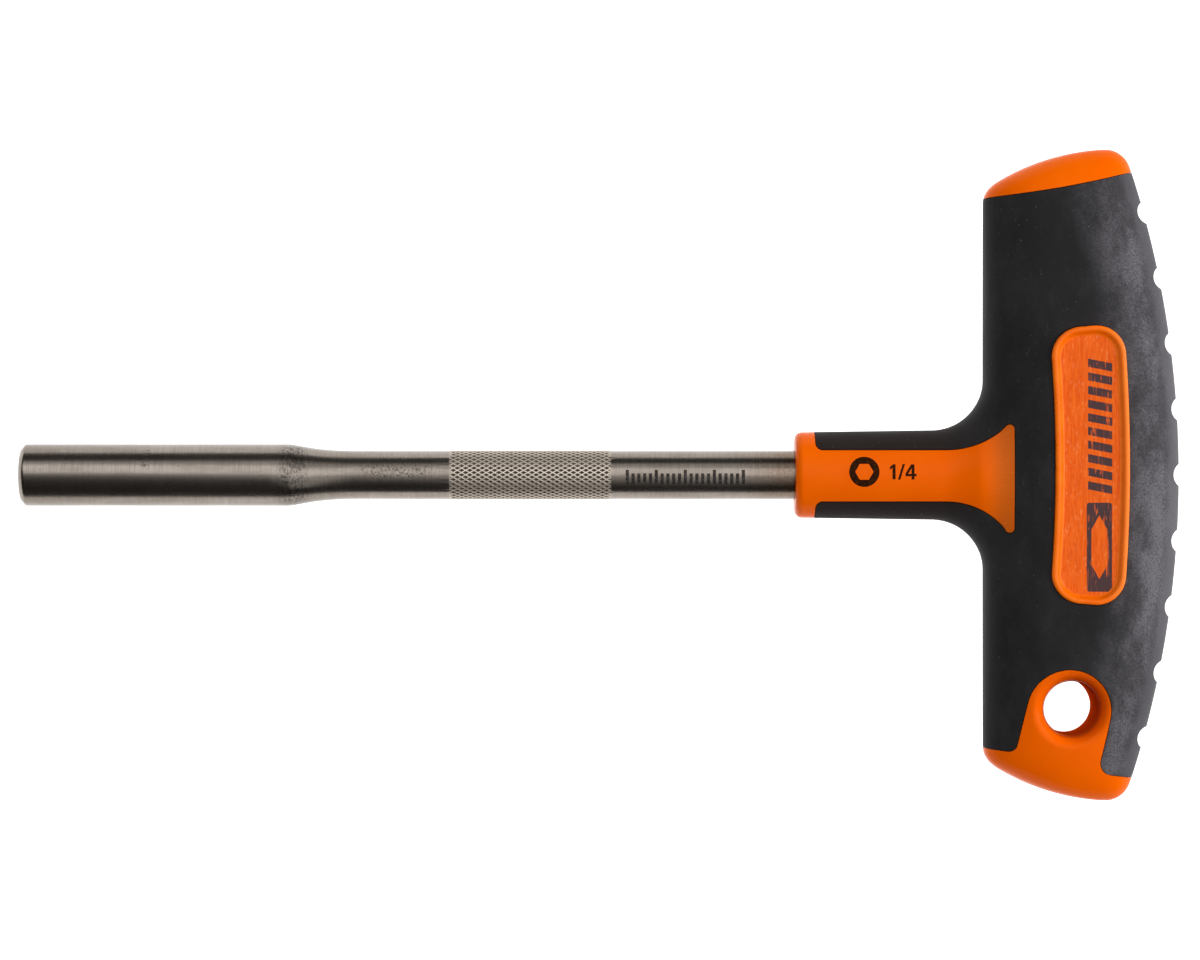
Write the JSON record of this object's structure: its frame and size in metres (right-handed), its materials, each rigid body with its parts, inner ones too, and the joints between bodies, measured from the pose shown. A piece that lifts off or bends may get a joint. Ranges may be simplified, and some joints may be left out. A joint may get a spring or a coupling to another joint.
{
  "type": "t-handle hex bit driver",
  "caption": "T-handle driver: round steel blade with a hexagonal bit socket at its tip and a two-material crossbar grip with a hang hole.",
  "frame": {"origin": "centre of the bit socket's mouth, at the blade's tip", "axes": "+X along the blade from the tip towards the handle, +Y along the crossbar away from the hang hole, +Z out of the front face"},
  "size_m": [0.2244, 0.1262, 0.0266],
  "materials": {
    "blade_steel": "satin turned steel with pits and darker patches",
    "magnet": "bright nickel plate",
    "spring_steel": "drawn spring wire",
    "core_plastic": "plain hard moulding",
    "hard_orange": "semi-gloss orange moulding with fine scratches",
    "badge_orange": "streaky matte orange moulding",
    "soft_black": "matte soft overmould, slightly dusty"
  },
  "bodies": {
    "root": {"blade": "blade_steel", "bit_magnet": "magnet", "retaining_ring": "spring_steel", "handle_core": "core_plastic", "nose_sleeve": "hard_orange", "top_end_cap": "hard_orange", "hang_loop_cap": "hard_orange", "front_badge_frame": "hard_orange", "rear_badge_frame": "hard_orange", "front_badge_panel": "badge_orange", "rear_badge_panel": "badge_orange", "soft_grip": "soft_black"}
  },
  "joints": []
}
